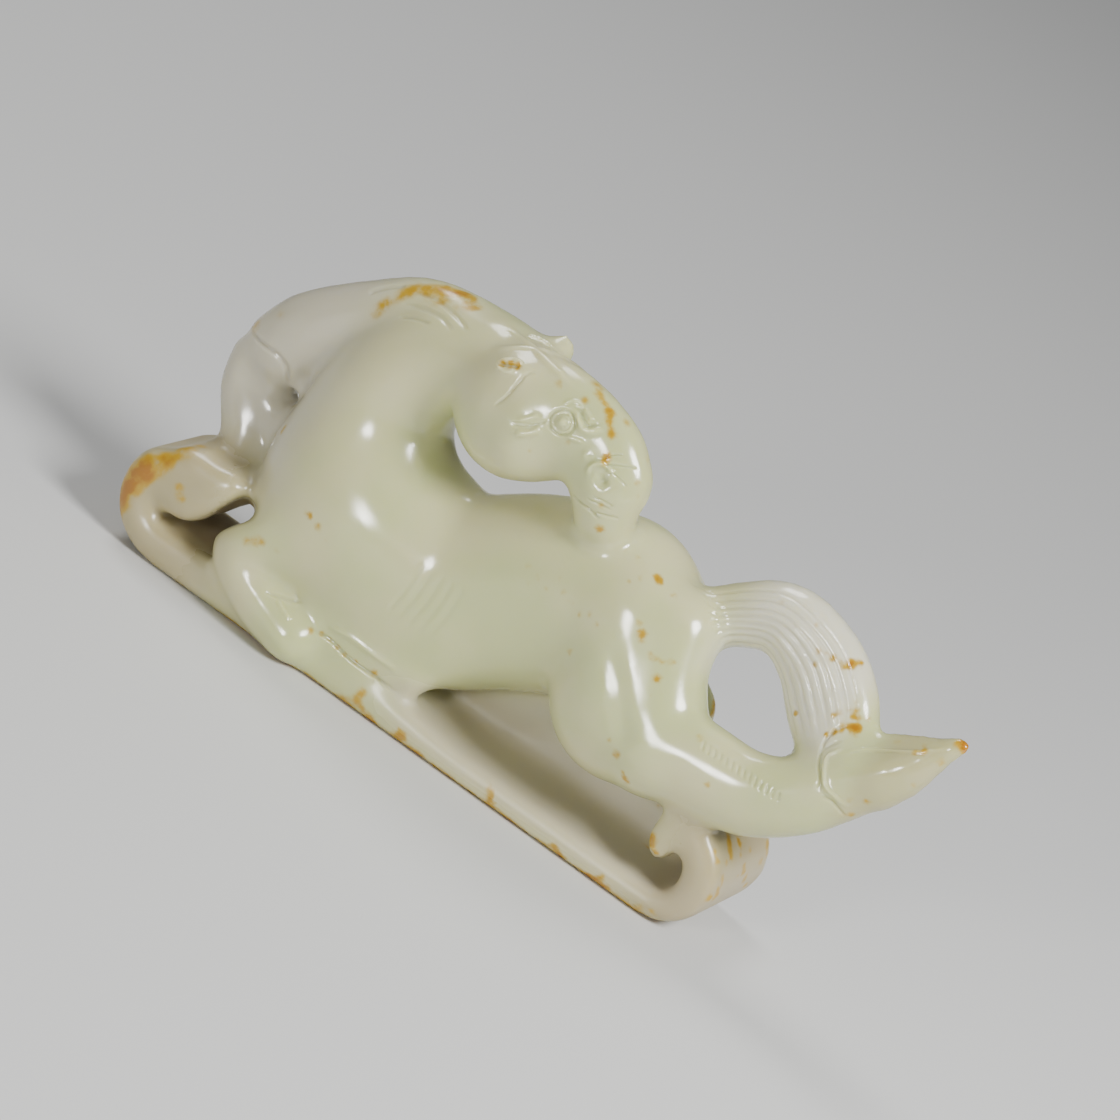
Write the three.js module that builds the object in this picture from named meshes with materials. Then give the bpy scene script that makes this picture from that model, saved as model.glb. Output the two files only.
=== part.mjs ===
import * as THREE from 'three';
import { edgeTable, triTable } from 'three/addons/objects/MarchingCubes.js';

// A horse carved in the round from one piece of pale jade.
// It lies on a scroll whose two ends roll up, looks back over its rump and kicks one hind hoof up behind.
// Millimetres, +Z up. +X points to the kicked hoof and -Y to the near side, where the head lies.

// Overall sizes: front curl to kicked hoof, one flank to the other, underside to the top of the head
const LENGTH = 72;
const BREADTH = 16;
const HEIGHT = 34;

// The scroll that the horse lies on
const SCROLL_LENGTH = 60.4;
const SCROLL_BREADTH = 12;
const SCROLL_THICKNESS = 2.3;
const SCROLL_FRONT_THICKNESS = 3.2;
const SCROLL_EDGE = 0.5;
const FRONT_CURL_EDGE = 1.3;
const HIND_CURL_RADIUS = 4.7;
const HIND_CURL_THICKNESS = 3.1;
const BEAK_THICKNESS = 2.1;
const FRONT_CURL_RADIUS = 5.3;
const FRONT_CURL_THICKNESS = 3.5;
const FRONT_LIP_THICKNESS = 6.2;

// The carving on the surface
const TAIL_LOCKS = 4;
const TAIL_LOCK_DEPTH = 0.35;
const EYE_RADIUS = 1.05;
const NOSTRIL_RADIUS = 0.7;

// Fineness of the surface: the raw grid, the number of facets that the finished stone keeps,
// and how many times dearer a lost detail is on the head and the tail
const CELL = 0.45;
const FACETS = 9800;
const FINE_CARE = 2;

// Steps that the horse's pose is laid out in, so that its proportions follow the overall sizes
const STEPS_ALONG = 72;
const STEPS_ACROSS = 16;
const STEPS_UP = 34;
const STEP_X = LENGTH / STEPS_ALONG;
const STEP_Y = BREADTH / STEPS_ACROSS;
const STEP_Z = HEIGHT / STEPS_UP;

const place = (x, y, z) => new THREE.Vector3(x * STEP_X, y * STEP_Y, z * STEP_Z);
const girth = (steps) => steps * STEP_Z;

// Soft steps where each hoof grows out of its leg and each eye out of the face
const HOOF_BLEND = 0.6;
const EYE_BLEND = 0.3;

// Two distances joined or cut with a fillet about as many steps wide as blend
function join(a, b, blend) {
  const reach = girth(blend);
  const near = Math.max(reach - Math.abs(a - b), 0) / reach;
  return Math.min(a, b) - near * near * reach / 4;
}

function cut(a, b, blend) {
  return -join(-a, b, blend);
}

// What two distances share, with the ridge between them rounded over about as many steps as blend
function trim(a, b, blend) {
  return -join(-a, -b, blend);
}

// Beyond this distance a shape answers with the distance to its box, which is quicker to find
const FAR = 4;

function bounded(samples, distance) {
  const box = new THREE.Box3();
  for (const { point, width, depth } of samples) {
    box.expandByPoint(point.clone().addScalar(Math.max(width, depth)));
    box.expandByPoint(point.clone().subScalar(Math.max(width, depth)));
  }
  const { min, max } = box;
  return (x, y, z) => {
    const dx = Math.max(min.x - x, x - max.x, 0);
    const dy = Math.max(min.y - y, y - max.y, 0);
    const dz = Math.max(min.z - z, z - max.z, 0);
    const away = dx * dx + dy * dy + dz * dz;
    return away > FAR * FAR ? Math.sqrt(away) : distance(x, y, z);
  };
}

// Distance to an oval of three half sizes about the origin, true near its surface
function ovalDistance(x, y, z, a, b, c) {
  const px = x / a;
  const py = y / b;
  const pz = z / c;
  const inside = px * px + py * py + pz * pz;
  const steep = px * px / (a * a) + py * py / (b * b) + pz * pz / (c * c);
  return steep > 0 ? (inside - Math.sqrt(inside)) / Math.sqrt(steep) : -Math.min(a, b, c);
}

// Samples a curve through stations and the widths that go with them
function stationsAlong(stations, samplesPerSpan) {
  const path = new THREE.CatmullRomCurve3(stations.map(([x, y, z]) => place(x, y, z)));
  const widths = [3, 4].map((column) => new THREE.SplineCurve(
    stations.map((station, i) => new THREE.Vector2(i, girth(station[column] ?? station[3]))),
  ));
  const count = (stations.length - 1) * samplesPerSpan;
  return Array.from({ length: count + 1 }, (_, i) => {
    const t = i / count;
    return { point: path.getPoint(t), width: widths[0].getPoint(t).y, depth: widths[1].getPoint(t).y };
  });
}

// A rounded limb along a curve. Each station is [x, y, z, radius]; flat squeezes the section across Y.
function limb(stations, flat = 1, samplesPerSpan = 5) {
  const samples = stationsAlong(stations, samplesPerSpan);
  const squeeze = flat * STEP_Y / STEP_Z;
  return bounded(samples, (x, y, z) => {
    let best = Infinity;
    for (let i = 0; i + 1 < samples.length; i++) {
      const a = samples[i];
      const b = samples[i + 1];
      const ux = b.point.x - a.point.x;
      const uy = (b.point.y - a.point.y) / squeeze;
      const uz = b.point.z - a.point.z;
      const px = x - a.point.x;
      const py = (y - a.point.y) / squeeze;
      const pz = z - a.point.z;
      const along = Math.min(Math.max((px * ux + py * uy + pz * uz) / (ux * ux + uy * uy + uz * uz), 0), 1);
      const dx = px - along * ux;
      const dy = py - along * uy;
      const dz = pz - along * uz;
      const reach = Math.sqrt(dx * dx + dy * dy + dz * dz);
      const slope = Math.sqrt(dx * dx + dy * dy / (squeeze * squeeze) + dz * dz);
      const radius = a.width + (b.width - a.width) * along;
      const distance = slope > 0 ? (reach - radius) * reach / slope : -radius;
      if (distance < best) best = distance;
    }
    return best;
  });
}

// A flat strap along a curve. Each station is [x, y, z, half width in the XZ plane, half thickness across Y].
// Lock grooves run along it: count of them across the width, and how deep they are cut.
function strap(stations, locks = 0, lockDepth = 0, samplesPerSpan = 6) {
  const samples = stationsAlong(stations, samplesPerSpan);
  const thicken = STEP_Y / STEP_Z;
  return bounded(samples, (x, y, z) => {
    let best = Infinity;
    for (let i = 0; i + 1 < samples.length; i++) {
      const a = samples[i];
      const b = samples[i + 1];
      const ux = b.point.x - a.point.x;
      const uz = b.point.z - a.point.z;
      const span = Math.sqrt(ux * ux + uz * uz);
      const px = x - a.point.x;
      const pz = z - a.point.z;
      const free = (px * ux + pz * uz) / span;
      const along = Math.min(Math.max(free / span, 0), 1);
      const over = free - along * span;
      const aside = (px * uz - pz * ux) / span;
      const halfWidth = a.width + (b.width - a.width) * along;
      const groove = locks ? lockDepth * Math.cos((aside / halfWidth + 1) * locks * Math.PI / 2) ** 2 : 0;
      const halfDepth = (a.depth + (b.depth - a.depth) * along) * thicken - groove;
      const dy = y - a.point.y - (b.point.y - a.point.y) * along;
      const distance = ovalDistance(aside, dy, over, halfWidth, halfDepth, halfDepth);
      if (distance < best) best = distance;
    }
    return best;
  });
}

// A rounded mass: centre [x, y, z] and half sizes [x, y, z]
function mass(centre, halfSizes) {
  const middle = place(...centre);
  const half = place(...halfSizes);
  return (x, y, z) => ovalDistance(x - middle.x, y - middle.y, z - middle.z, half.x, half.y, half.z);
}

// Distance in front of a flat plane through a point; direction points off the stone
function plane(point, direction) {
  const through = place(...point);
  const normal = new THREE.Vector3(...direction).normalize();
  return (x, y, z) => (x - through.x) * normal.x + (y - through.y) * normal.y + (z - through.z) * normal.z;
}

// A small round boss or dimple of a real size on the surface
function bead(centre, radius) {
  const middle = place(...centre);
  return (x, y, z) => Math.hypot(x - middle.x, y - middle.y, z - middle.z) - radius;
}

// A stroke in the XZ plane drawn with a round nib, pushed straight through across Y with rounded edges
function ribbon(points, breadth, edge) {
  return (x, y, z) => {
    let outline = Infinity;
    for (let i = 0; i + 1 < points.length; i++) {
      const a = points[i];
      const b = points[i + 1];
      const ux = b.x - a.x;
      const uz = b.z - a.z;
      const px = x - a.x;
      const pz = z - a.z;
      const along = Math.min(Math.max((px * ux + pz * uz) / (ux * ux + uz * uz), 0), 1);
      const dx = px - along * ux;
      const dz = pz - along * uz;
      const distance = Math.sqrt(dx * dx + dz * dz) - (a.half + (b.half - a.half) * along);
      if (distance < outline) outline = distance;
    }
    const inPlane = outline + edge;
    const across = Math.abs(y) - breadth / 2 + edge;
    const outside = Math.sqrt(Math.max(inPlane, 0) ** 2 + Math.max(across, 0) ** 2);
    return Math.min(Math.max(inPlane, across), 0) + outside - edge;
  };
}

// The curl's nib positions: an arc about a centre that winds up from the floor
function curl(centreX, radius, floorThickness, thickness, fromDegrees, toDegrees, count) {
  return Array.from({ length: count + 1 }, (_, i) => {
    const share = i / count;
    const angle = THREE.MathUtils.degToRad(fromDegrees + (toDegrees - fromDegrees) * share);
    const half = THREE.MathUtils.lerp(floorThickness, thickness, Math.min(2 * share, 1)) / 2;
    return {
      x: centreX + (radius - half) * Math.cos(angle),
      z: radius + (radius - half) * Math.sin(angle),
      half,
    };
  });
}

// The scroll: a flat floor, the hind curl with its beak turned down, and the front curl with its thick lip
function scroll() {
  const frontX = -LENGTH / 2 + FRONT_CURL_RADIUS;
  const hindX = -LENGTH / 2 + SCROLL_LENGTH - HIND_CURL_RADIUS;
  const beakX = hindX - HIND_CURL_RADIUS * 0.26;
  const front = curl(frontX, FRONT_CURL_RADIUS, SCROLL_FRONT_THICKNESS, FRONT_CURL_THICKNESS, -90, -205, 12);
  const hind = curl(hindX, HIND_CURL_RADIUS, SCROLL_THICKNESS, HIND_CURL_THICKNESS, -90, 100, 16);
  const chestX = -LENGTH / 6;
  const waist = [
    { x: chestX, z: SCROLL_FRONT_THICKNESS / 2, half: SCROLL_FRONT_THICKNESS / 2 },
    { x: 0, z: SCROLL_THICKNESS / 2, half: SCROLL_THICKNESS / 2 },
  ];
  const lip = [
    {
      x: frontX + FRONT_CURL_RADIUS * 0.02,
      z: FRONT_CURL_RADIUS * 1.4,
      half: FRONT_LIP_THICKNESS / 2,
    },
    {
      x: frontX + FRONT_CURL_RADIUS * 0.62,
      z: FRONT_CURL_RADIUS * 1.66,
      half: FRONT_LIP_THICKNESS * 0.3,
    },
  ];
  const beak = [
    { x: beakX, z: HIND_CURL_RADIUS * 1.45, half: BEAK_THICKNESS * 0.58 },
    { x: beakX + HIND_CURL_RADIUS * 0.04, z: HIND_CURL_RADIUS * 1.2, half: BEAK_THICKNESS / 2 },
  ];
  const frontRibbon = ribbon([...lip.reverse(), ...front.reverse()], SCROLL_BREADTH, FRONT_CURL_EDGE);
  const longRibbon = ribbon([front.at(-1), ...waist, ...hind, ...beak], SCROLL_BREADTH, SCROLL_EDGE);
  return (x, y, z) => Math.min(frontRibbon(x, y, z), longRibbon(x, y, z));
}

// Barrel of the body: back, belly and the brisket that rests on the scroll
function body() {
  const back = limb([
    [-19, 0, 12.2, 7.9], [-13.1, 0, 11.9, 7.9], [-9.3, 0, 12, 7],
    [-6.6, 0, 13.3, 6.9], [-1.1, 0, 16.8, 7], [4.2, 0, 18.2, 7.4],
  ], 0.86);
  const belly = limb([[-12.8, 0, 11, 7.2], [-5.5, 0, 11.9, 6.7], [0, 0, 14.6, 6.6], [4.4, 0, 17, 6.4]], 0.86);
  const brisket = limb([[-20.5, 0, 9, 6], [-12, 0, 9, 6.4], [-6.6, 0, 9.6, 5.8]], 1);
  const shoulder = mass([-16.6, -3, 12.4], [6, 4.4, 6.2]);
  const elbow = mass([-12.6, -3.1, 6.8], [8.6, 3, 4.4]);
  return (x, y, z) => {
    const barrel = join(join(back(x, y, z), belly(x, y, z), 1.5), brisket(x, y, z), 1.5);
    return join(join(barrel, shoulder(x, y, z), 2), elbow(x, y, z), 1.5);
  };
}

// Neck rising from the chest and turning back over the body
function neck() {
  return limb([
    [-19.9, 0, 15.3, 7.1], [-20.3, -0.3, 22, 5.7], [-17.8, -0.8, 27.2, 4.6], [-13.7, -1.6, 29.1, 4.1],
  ], 0.82);
}

// Thin mane along the crest of the neck, down to its square lower end
function mane() {
  return strap([
    [-31.2, 0.8, 19.2, 3.3, 2.2], [-29.5, 0.8, 22.1, 3.4, 2.6], [-25.5, 0.8, 26.3, 2.9, 2.7],
    [-21.3, 0.7, 29.4, 2.7, 2.6], [-15.7, 0.2, 31.3, 1.8, 2.6], [-11.2, -1, 32.1, 1.4, 2.6],
  ]);
}

// Head lying back on the near side: deep jaw, straight nose, lips resting on the croup
function head() {
  const skull = limb([
    [-9.2, -3.4, 28.2, 5.6], [-4.4, -3.9, 29.8, 4.2], [-1.2, -4.2, 29.4, 3.7], [0.5, -4.3, 28.4, 3.3],
  ], 0.68);
  const cheek = mass([-7.8, -4.4, 27.9], [3.3, 3.2, 4.6]);
  const lips = limb([[0.4, -4.3, 27.4, 2.9], [1.1, -3.9, 25.4, 2.6]], 0.9);
  const nearEar = limb([[-9.4, -5.9, 31.9, 0.8], [-11, -5.9, 31.6, 0.9], [-12.9, -5.3, 30.9, 0.35]], 0.7);
  const farEar = limb([[-10.2, 0.3, 31.5, 1.25], [-9.9, 0.5, 33.4, 1.15]], 0.7);
  const nearEye = bead([-4.4, -6.1, 30.6], EYE_RADIUS);
  const farEye = bead([-4.4, -1.7, 30.6], EYE_RADIUS);
  const nearNostril = bead([0.8, -7.3, 29], NOSTRIL_RADIUS);
  const farNostril = bead([0.8, -1.3, 29], NOSTRIL_RADIUS);
  return (x, y, z) => {
    let d = join(skull(x, y, z), lips(x, y, z), 1);
    d = join(d, cheek(x, y, z), 0.3);
    d = join(d, nearEar(x, y, z), 0.5);
    d = join(d, farEar(x, y, z), 0.3);
    d = join(d, Math.min(nearEye(x, y, z), farEye(x, y, z)), EYE_BLEND);
    return cut(d, Math.min(nearNostril(x, y, z), farNostril(x, y, z)), 0.4);
  };
}

// Front leg of the near side, folded under the chest, and its long hoof laid along the scroll
function nearForeleg() {
  const arm = limb([
    [-17.9, -2.6, 11.1, 4.9], [-23.6, -5.2, 5.6, 2.6], [-20, -5.8, 3.2, 2.3], [-16.3, -6.1, 2.3, 2.2],
  ], 0.95);
  const hoof = limb([[-15.4, -4.6, 4, 1.7], [-10, -4.5, 4.2, 1.5], [-6.1, -4.2, 4.3, 1.1]], 0.95);
  return (x, y, z) => join(arm(x, y, z), hoof(x, y, z), HOOF_BLEND);
}

// Front leg of the far side, raised: knee under the mane and foot on the front curl.
// One pit is pierced behind its shin and one through the corner between the knee, the chest and the curl,
// and a third joins that corner to the gap inside the curl.
function farForeleg() {
  const shin = limb([
    [-33.3, 1.3, 17.6, 1.7], [-32.9, 1.3, 15, 1.8], [-30.9, 1.1, 12.4, 2.1], [-28.8, 1, 9.6, 2.6],
  ], 1.1);
  const web = mass([-29, 1.2, 15.4], [3.8, 1.8, 4.2]);
  const shinPit = limb([[-29.9, -4, 15.6, 2], [-28.2, 0.6, 16.7, 0.9], [-27.6, 5, 16.9, 0.8]]);
  const kneePit = limb([[-24.5, -7, 9.3, 1.1], [-26.1, -3, 7.6, 1.1], [-27.1, 0.5, 5.9, 1], [-28.6, 6.8, 4, 0.8]]);
  const curlPit = limb([[-25.5, -7, 8, 0.9], [-26.6, -4, 6.8, 0.9], [-27.7, -1, 5.6, 0.8]]);
  return {
    stone: (x, y, z) => join(shin(x, y, z), web(x, y, z), 1),
    pits: (x, y, z) => Math.min(shinPit(x, y, z), kneePit(x, y, z), curlPit(x, y, z)),
  };
}

// Haunch and kicked hind leg of the near side, with the long pointed hoof
function nearHindleg() {
  const thigh = mass([10.2, -3.4, 13.3], [6.6, 4.6, 6.6]);
  const haunch = mass([7.2, -2.4, 18.6], [5.4, 4.5, 5.6]);
  const buttock = limb([[10.3, -2.4, 20.2, 3.8], [11.8, -3.8, 16.5, 3.5], [14.2, -4.9, 12, 3.6]], 0.9);
  const shank = limb([
    [14.1, -4.6, 11.9, 4], [17.4, -4.8, 12.8, 3.8], [22.2, -4.8, 13.3, 3.5], [26.4, -4.8, 15.8, 3.1],
    [28.9, -4.5, 18.7, 2.9],
  ], 0.8);
  const hoof = limb([[30.4, -4.4, 21.2, 3.4], [35.1, -4, 26.5, 0.9]], 0.7);
  const hoofTop = plane([28.7, -3.1, 23.4], [-0.49, -0.57, 0.65]);
  return (x, y, z) => {
    let d = join(thigh(x, y, z), haunch(x, y, z), 2);
    d = join(d, buttock(x, y, z), 0.6);
    d = join(d, shank(x, y, z), 1);
    return join(d, trim(hoof(x, y, z), hoofTop(x, y, z), 0.3), HOOF_BLEND);
  };
}

// Haunch and hind leg of the far side, folded forward along the scroll
function farHindleg() {
  const haunch = mass([6.4, 3, 16.2], [6.2, 5, 6.8]);
  const thigh = limb([
    [12.3, 4.2, 12.9, 2.6], [8, 4.2, 11, 3.6], [2.6, 4.4, 7.8, 2.9],
    [-2.2, 4.4, 5.1, 2.6], [-5.8, 4.2, 4.4, 2.4],
  ], 0.95);
  const cannon = limb([
    [-4.8, 4.4, 4, 2.3], [4, 4.6, 3.8, 1.9], [11, 4.6, 3.9, 1.8], [18.6, 4.3, 4.2, 1.7],
  ], 0.9);
  return (x, y, z) => join(join(haunch(x, y, z), thigh(x, y, z), 1.2), cannon(x, y, z), 0.5);
}

// Tail arched over to the kicked hoof, fluted into locks
function tail() {
  return strap([
    [9.4, 0, 19.8, 2.2, 2.4], [12.7, 0, 22.8, 2.5, 2.5], [17.4, -0.5, 25.5, 3.1, 2.6],
    [21.5, -1, 24.4, 3.7, 2.6], [24.3, -1.8, 22.2, 4, 2.5], [26.7, -3, 19.9, 3.4, 2.3],
  ], TAIL_LOCKS, TAIL_LOCK_DEPTH, 8);
}

// The whole stone as one distance field
function carving() {
  const parts = {
    body: body(),
    neck: neck(),
    mane: mane(),
    head: head(),
    nearForeleg: nearForeleg(),
    farForeleg: farForeleg(),
    nearHindleg: nearHindleg(),
    farHindleg: farHindleg(),
    tail: tail(),
    scroll: scroll(),
  };
  return (x, y, z) => {
    let d = join(parts.body(x, y, z), parts.neck(x, y, z), 2.5);
    d = join(d, parts.farForeleg.stone(x, y, z), 1);
    d = join(d, parts.mane(x, y, z), 0.8);
    d = join(d, parts.head(x, y, z), 1);
    d = join(d, parts.farHindleg(x, y, z), 1.2);
    d = join(d, parts.tail(x, y, z), 0.8);
    d = join(d, parts.nearHindleg(x, y, z), 1);
    d = join(d, parts.nearForeleg(x, y, z), 1.4);
    d = join(d, parts.scroll(x, y, z), 0.7);
    d = cut(d, parts.farForeleg.pits(x, y, z), 0.6);
    return Math.max(d, -z);
  };
}

// Samples the field on a box of grid points just larger than the stone
function sampleField(field) {
  const low = new THREE.Vector3(-LENGTH / 2 - 2 * CELL, -BREADTH * 0.62, -1.4 * CELL);
  const high = new THREE.Vector3(LENGTH / 2 + 2 * CELL, BREADTH * 0.62, HEIGHT * 1.04 + 2 * CELL);
  const counts = high.clone().sub(low).divideScalar(CELL).ceil().addScalar(1);
  const values = new Float32Array(counts.x * counts.y * counts.z);
  let n = 0;
  for (let k = 0; k < counts.z; k++) {
    for (let j = 0; j < counts.y; j++) {
      for (let i = 0; i < counts.x; i++) {
        values[n++] = field(low.x + i * CELL, low.y + j * CELL, low.z + k * CELL);
      }
    }
  }
  return { low, counts, values };
}

// Corners of a grid cell, and the pair of corners at the ends of each of its twelve edges
const CORNERS = [[0, 0, 0], [1, 0, 0], [1, 1, 0], [0, 1, 0], [0, 0, 1], [1, 0, 1], [1, 1, 1], [0, 1, 1]];
const EDGES = [
  [0, 1], [1, 2], [3, 2], [0, 3], [4, 5], [5, 6], [7, 6], [4, 7], [0, 4], [1, 5], [2, 6], [3, 7],
];

// Walks the grid's cells and returns the surface where the field is zero, with shared vertices
function surfaceOf({ low, counts, values }) {
  const positions = [];
  const faces = [];
  const known = new Map();
  const at = (i, j, k) => (k * counts.y + j) * counts.x + i;
  const vertexOn = (i, j, k, edge) => {
    const [a, b] = EDGES[edge].map((corner) => CORNERS[corner]);
    const from = at(i + a[0], j + a[1], k + a[2]);
    const to = at(i + b[0], j + b[1], k + b[2]);
    const key = from * 4 + (b[0] - a[0]) + 2 * (b[1] - a[1]) + 3 * (b[2] - a[2]);
    if (!known.has(key)) {
      const share = values[from] / (values[from] - values[to]);
      known.set(key, positions.length / 3);
      positions.push(
        low.x + (i + a[0] + share * (b[0] - a[0])) * CELL,
        low.y + (j + a[1] + share * (b[1] - a[1])) * CELL,
        low.z + (k + a[2] + share * (b[2] - a[2])) * CELL,
      );
    }
    return known.get(key);
  };
  for (let k = 0; k + 1 < counts.z; k++) {
    for (let j = 0; j + 1 < counts.y; j++) {
      for (let i = 0; i + 1 < counts.x; i++) {
        let index = 0;
        CORNERS.forEach(([x, y, z], corner) => {
          if (values[at(i + x, j + y, k + z)] < 0) index |= 1 << corner;
        });
        if (edgeTable[index] === 0) continue;
        for (let t = index * 16; triTable[t] !== -1; t += 3) {
          faces.push([0, 2, 1].map((turn) => vertexOn(i, j, k, triTable[t + turn])));
        }
      }
    }
  }
  return { positions, faces };
}

// Keeps the outer skin: the connected surface with the most faces
function outerSkin({ positions, faces }) {
  const parent = Array.from({ length: positions.length / 3 }, (_, i) => i);
  const rootOf = (i) => {
    while (parent[i] !== i) {
      parent[i] = parent[parent[i]];
      i = parent[i];
    }
    return i;
  };
  for (const [a, b, c] of faces) {
    parent[rootOf(b)] = rootOf(a);
    parent[rootOf(c)] = rootOf(a);
  }
  const sizes = new Map();
  for (const [a] of faces) {
    sizes.set(rootOf(a), (sizes.get(rootOf(a)) ?? 0) + 1);
  }
  const largest = [...sizes].sort((p, q) => q[1] - p[1])[0][0];
  return { positions, faces: faces.filter(([a]) => rootOf(a) === largest) };
}

// A binary heap of edges, cheapest first
class EdgeQueue {
  items = [];

  push(item) {
    const { items } = this;
    let i = items.push(item) - 1;
    while (i > 0 && items[(i - 1) >> 1].cost > item.cost) {
      items[i] = items[(i - 1) >> 1];
      i = (i - 1) >> 1;
    }
    items[i] = item;
  }

  pop() {
    const { items } = this;
    const first = items[0];
    const last = items.pop();
    if (items.length === 0) return first;
    let i = 0;
    for (;;) {
      let child = 2 * i + 1;
      if (child >= items.length) break;
      if (child + 1 < items.length && items[child + 1].cost < items[child].cost) child++;
      if (items[child].cost >= last.cost) break;
      items[i] = items[child];
      i = child;
    }
    items[i] = last;
    return first;
  }
}

// The squared distance to a plane, as the ten numbers of its symmetric matrix
function planeError(normal, offset) {
  const { x, y, z } = normal;
  return [x * x, x * y, x * z, x * offset, y * y, y * z, y * offset, z * z, z * offset, offset * offset];
}

function errorAt(q, { x, y, z }) {
  return q[0] * x * x + 2 * q[1] * x * y + 2 * q[2] * x * z + 2 * q[3] * x + q[4] * y * y
    + 2 * q[5] * y * z + 2 * q[6] * y + q[7] * z * z + 2 * q[8] * z + q[9];
}

// How much the thinning cares for a point: the head and the tail carry the finest carving
function careMap() {
  const face = mass([-4, -4, 30], [11, 7, 8]);
  const flutes = mass([19.5, -1, 23], [10.5, 6, 7]);
  return ({ x, y, z }) => (Math.min(face(x, y, z), flutes(x, y, z)) < 0 ? FINE_CARE : 1);
}

// Limits of the thinning: how near flat an edge's surroundings are before its fold isn't placed by them,
// how much a long edge costs by its length alone, and how far a face may turn when an edge is folded
const NEARLY_FLAT = 1e-3;
const LENGTH_COST = 1e-6;
const LEAST_TURN_COSINE = 0.2;

// Two vertices' versions packed into one number
const stampOf = (first, second) => first + second * 65536;

// Thins the surface to a number of faces by folding the edges whose loss changes the shape least
function thin({ positions, faces }, target) {
  const points = [];
  for (let i = 0; i < positions.length; i += 3) {
    points.push(new THREE.Vector3(positions[i], positions[i + 1], positions[i + 2]));
  }
  const careAt = careMap();
  const errors = points.map(() => new Array(10).fill(0));
  const around = points.map(() => new Set());
  const versions = new Uint32Array(points.length);
  const live = faces.map(() => true);
  let left = faces.length;
  const ab = new THREE.Vector3();
  const ac = new THREE.Vector3();
  const normalOf = (a, b, c) => ab.subVectors(b, a).cross(ac.subVectors(c, a));

  faces.forEach((face, f) => {
    const normal = normalOf(...face.map((v) => points[v])).clone();
    const area = normal.length();
    if (area > 0) normal.divideScalar(area);
    const error = planeError(normal, -normal.dot(points[face[0]]));
    const weight = area * careAt(points[face[0]]);
    for (const v of face) {
      around[v].add(f);
      error.forEach((value, n) => {
        errors[v][n] += value * weight;
      });
    }
  });

  const queue = new EdgeQueue();
  const matrix = new THREE.Matrix3();
  const offer = (a, b) => {
    const q = errors[a].map((value, n) => value + errors[b][n]);
    const middle = points[a].clone().lerp(points[b], 0.5);
    const choices = [middle];
    matrix.set(q[0], q[1], q[2], q[1], q[4], q[5], q[2], q[5], q[7]);
    const scale = (q[0] + q[4] + q[7]) / 3;
    if (Math.abs(matrix.determinant()) > NEARLY_FLAT * scale ** 3) {
      const best = new THREE.Vector3(-q[3], -q[6], -q[8]).applyMatrix3(matrix.invert());
      if (best.distanceTo(middle) < 2 * points[a].distanceTo(points[b])) choices.unshift(best);
    } else {
      choices.push(points[a].clone(), points[b].clone());
    }
    const [point, error] = choices
      .map((choice) => [choice, errorAt(q, choice)])
      .sort((p, r) => p[1] - r[1])[0];
    const cost = Math.max(error, 0) + LENGTH_COST * points[a].distanceToSquared(points[b]);
    queue.push({ a, b, point, cost, stamp: stampOf(versions[a], versions[b]) });
  };
  const neighbours = (v) => {
    const found = new Set();
    for (const f of around[v]) faces[f].forEach((w) => found.add(w));
    found.delete(v);
    return found;
  };
  const flips = (v, other, point) => {
    for (const f of around[v]) {
      if (faces[f].includes(other)) continue;
      const corners = faces[f].map((w) => points[w]);
      const before = normalOf(...corners).clone();
      const after = normalOf(...faces[f].map((w) => (w === v ? point : points[w])));
      if (before.dot(after) < LEAST_TURN_COSINE * before.length() * after.length()) return true;
    }
    return false;
  };

  for (const face of faces) {
    face.forEach((a, n) => {
      const b = face[(n + 1) % 3];
      if (a < b) offer(a, b);
    });
  }
  while (left > target && queue.items.length) {
    const { a, b, point, stamp } = queue.pop();
    const stale = stamp !== stampOf(versions[a], versions[b]);
    if (stale || around[a].size === 0 || around[b].size === 0) continue;
    const ring = neighbours(b);
    const shared = [...neighbours(a)].filter((v) => ring.has(v));
    if (shared.length !== 2 || flips(a, b, point) || flips(b, a, point)) continue;
    points[a].copy(point);
    errors[a] = errors[a].map((value, n) => value + errors[b][n]);
    for (const f of around[b]) {
      if (faces[f].includes(a)) {
        live[f] = false;
        left--;
        faces[f].forEach((v) => v !== b && around[v].delete(f));
      } else {
        faces[f][faces[f].indexOf(b)] = a;
        around[a].add(f);
      }
    }
    around[b].clear();
    versions[a]++;
    versions[b]++;
    for (const v of neighbours(a)) offer(Math.min(a, v), Math.max(a, v));
  }
  return { points, faces: faces.filter((_, f) => live[f]) };
}

// The finished facets as a geometry, with the underside dead flat and the stone centred over the origin
function stoneGeometry() {
  const { points, faces } = thin(outerSkin(surfaceOf(sampleField(carving()))), FACETS);
  const flat = CELL / 20;
  const geometry = new THREE.BufferGeometry();
  const positions = points.flatMap(({ x, y, z }) => [x, y, z]);
  geometry.setAttribute('position', new THREE.Float32BufferAttribute(positions, 3));
  geometry.setIndex(faces.flat());
  const used = new THREE.Box3().setFromPoints(faces.flat().map((v) => points[v]));
  const middle = used.getCenter(new THREE.Vector3());
  geometry.translate(-middle.x, -middle.y, 0);
  const position = geometry.attributes.position;
  for (let i = 0; i < position.count; i++) {
    if (position.getZ(i) < flat) position.setZ(i, 0);
  }
  return geometry;
}

const jade = new THREE.MeshStandardMaterial({ color: 0xd6d6bf, roughness: 0.28, metalness: 0 });
const carvingMesh = new THREE.Mesh(stoneGeometry(), jade);
carvingMesh.name = 'horse_carving';

const horse = new THREE.Group();
horse.add(carvingMesh);

export default horse;
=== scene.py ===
"""Jade horse carving: the fine stone, its carved lines, colours and studio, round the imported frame."""

import logging
import math
from dataclasses import dataclass, field, replace
from enum import Enum

import bmesh
import bpy
import numpy as np
from mathutils import Matrix, Vector
from mathutils.bvhtree import BVHTree
from mathutils.kdtree import KDTree


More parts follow.
